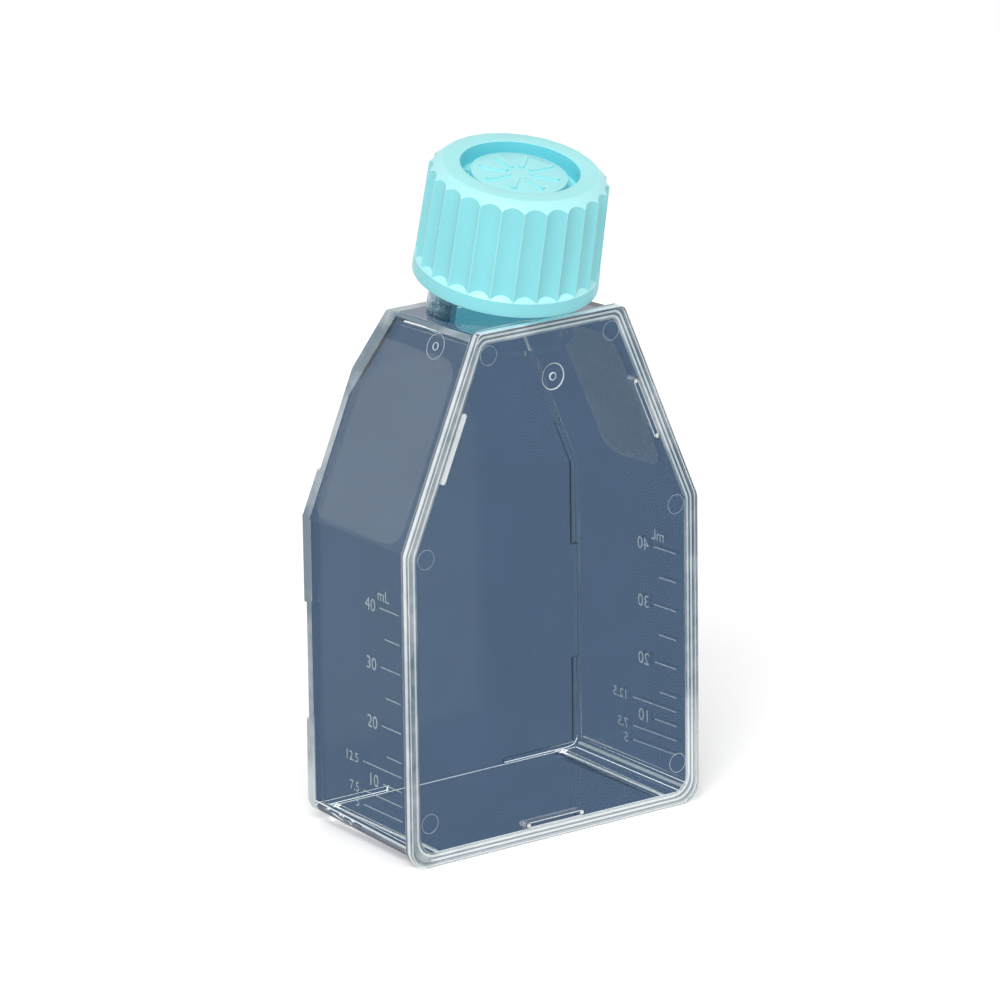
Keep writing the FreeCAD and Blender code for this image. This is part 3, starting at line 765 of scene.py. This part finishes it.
# Lit and shaded copies of the aqua: a painted glow inside the skirt, painted highlights on the
# ridges and shoulder facets, a painted lighter top and a painted shade in the recess.
OUTSIDE, INSIDE, RIDGE, TOP, RECESS = range(5)
aqua = [
    aqua_plastic("aqua_polyethylene", (0.29, 0.82, 0.88)),
    aqua_plastic("aqua_inside_painted_glow", (0.20, 0.72, 0.78), 0.7),
    aqua_plastic("aqua_ridge_highlight", (0.46, 0.91, 0.94)),
    aqua_plastic("aqua_top_painted_light", (0.38, 0.86, 0.88)),
    aqua_plastic("aqua_recess_shade", (0.17, 0.70, 0.79)),
]
cap_bore = 11.5 * MM
cap_ceiling = 17.35 * MM
disc_radius = 8 * MM
cap = merged_copy("screw_cap")
for face in cap.faces:
    middle = face.calc_center_median()
    height = (middle - neck_root).dot(neck_up)
    to_axis = neck_root + neck_up * height - middle
    off_axis = off_neck_axis(middle)
    if off_axis < cap_bore + 0.1 * MM and height < cap_ceiling + 0.1 * MM:
        face.material_index = INSIDE
    elif face.normal.dot(neck_up) > 0.9:
        face.material_index = TOP
    elif face.normal.dot(neck_up) > 0.25:
        face.material_index = RIDGE
    elif height > cap_ceiling and face.normal.dot(to_axis) > 0 and off_axis > disc_radius:
        face.material_index = RECESS
    else:
        face.material_index = OUTSIDE
# The long edges are rounded in the painted ridge highlight.
long_lines = [line for line in sharp_lines(cap, 30) if line.calc_length() > 0.5 * MM]
break_edges(cap, long_lines, 0.1 * MM, RIDGE)
bmesh.ops.dissolve_degenerate(cap, dist=MM / 10000, edges=cap.edges)
cap_piece = add_piece("aqua_cap", cap, aqua, "cap", 28)
# The cap's thread takes the painted glow of the inside.
add_thread("cap_thread", 11.52, 10.8, 8.1, 1.1, aqua[INSIDE], "cap")
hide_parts("screw_cap")

# ---------------------------------------------------------------------------------------
# Vent membrane. A round, matt white film that sheds water. It lies under the cap's vented
# top, lets air through the slots, and lifts with the cap.
# ---------------------------------------------------------------------------------------
film, shader = new_material("membrane_film", (0.86, 0.87, 0.86), 0.9)
vary_color(film, shader, add_noise(film, 3000, 4), (0.8, 0.81, 0.8), (0.9, 0.91, 0.9))
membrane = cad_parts["vent_membrane"]
membrane.data.materials.clear()
membrane.data.materials.append(film)

# ---------------------------------------------------------------------------------------
# Studio. A pale floor and backdrop, a soft key lamp from the left and above, and a weaker
# fill from the right.
# ---------------------------------------------------------------------------------------
def level_by_ray(nodes, links, lit, shown):
    """The camera's ray, and a level: shown to the camera, gloss and glass, or else lit."""
    path = nodes.new("ShaderNodeLightPath")
    seen = path.outputs["Is Camera Ray"]
    for kind in ("Is Glossy Ray", "Is Transmission Ray"):
        either = nodes.new("ShaderNodeMath")
        either.operation = "MAXIMUM"
        links.new(seen, either.inputs[0])
        links.new(path.outputs[kind], either.inputs[1])
        seen = either.outputs[0]
    level = nodes.new("ShaderNodeMath")
    level.operation = "MULTIPLY_ADD"
    level.inputs[1].default_value = shown - lit
    level.inputs[2].default_value = lit
    links.new(seen, level.inputs[0])
    return path.outputs["Is Camera Ray"], level.outputs[0]


world = bpy.data.worlds.new("studio_world")
world.use_nodes = True
scene.world = world
nodes, links = world.node_tree.nodes, world.node_tree.links
backdrop = nodes["Background"]
backdrop.inputs["Color"].default_value = (1, 1, 1, 1)
_, level = level_by_ray(nodes, links, lit=0.45, shown=1.0)
links.new(level, backdrop.inputs["Strength"])

# The floor lies a hair below the feet, so that the two don't share a plane.
floor_shape = bmesh.new()
bmesh.ops.create_grid(floor_shape, x_segments=1, y_segments=1, size=3)
bmesh.ops.translate(floor_shape, verts=floor_shape.verts, vec=(0, 0, -0.1 * MM))
floor_mesh = bpy.data.meshes.new("floor")
floor_shape.to_mesh(floor_mesh)
floor_shape.free()
pale, shader = new_material("pale_floor", (0.95, 0.95, 0.95), 1.0)
shader.inputs["Specular IOR Level"].default_value = 0
shader.inputs["Emission Color"].default_value = (1, 1, 1, 1)
shader.inputs["Emission Strength"].default_value = 0.33
nodes, links = pale.node_tree.nodes, pale.node_tree.links
camera_ray, level = level_by_ray(nodes, links, lit=0.6, shown=1.0)
bounce = nodes.new("ShaderNodeEmission")
links.new(level, bounce.inputs["Strength"])
choice = nodes.new("ShaderNodeMixShader")
links.new(camera_ray, choice.inputs[0])
links.new(bounce.outputs[0], choice.inputs[1])
links.new(shader.outputs[0], choice.inputs[2])
links.new(choice.outputs[0], nodes["Material Output"].inputs["Surface"])
floor_mesh.materials.append(pale)
floor = bpy.data.objects.new("floor", floor_mesh)
scene.collection.objects.link(floor)


def add_lamp(name, size, power, place):
    """A square lamp that looks at the flask, and isn't seen through it."""
    light = bpy.data.lights.new(name, "AREA")
    light.shape = "SQUARE"
    light.size = size
    light.energy = power
    lamp = bpy.data.objects.new(name, light)
    aim = Vector((0, 0, 50 * MM)) - Vector(place)
    turn = aim.to_track_quat("-Z", "Y").to_matrix().to_4x4()
    lamp.matrix_world = Matrix.Translation(place) @ turn
    lamp.visible_transmission = False
    scene.collection.objects.link(lamp)


add_lamp("key_lamp", 0.9, 25, (-1.1, -1.05, 1.4))
add_lamp("fill_lamp", 1.2, 4, (1.3, -1.3, 0.9))

camera = bpy.data.objects.new("camera", bpy.data.cameras.new("camera"))
camera.data.sensor_width = 36
camera.data.lens = 277.7
camera.data.clip_start = 0.05
camera.data.clip_end = 20
azimuth = math.radians(-36.4)
elevation = math.radians(16.2)
roll = math.radians(-0.76)
distance = 1.097
turn = (
    Matrix.Rotation(azimuth, 3, "Z")
    @ Matrix.Rotation(math.pi / 2 - elevation, 3, "X")
    @ Matrix.Rotation(roll, 3, "Z")
)
right, up, back = turn.col
flask_middle = Vector((0, 0, 40 * MM))
stand = flask_middle + back * distance + right * 0.42 * MM + up * 6.43 * MM
camera.matrix_world = Matrix.Translation(stand) @ turn.to_4x4()
scene.collection.objects.link(camera)
scene.camera = camera
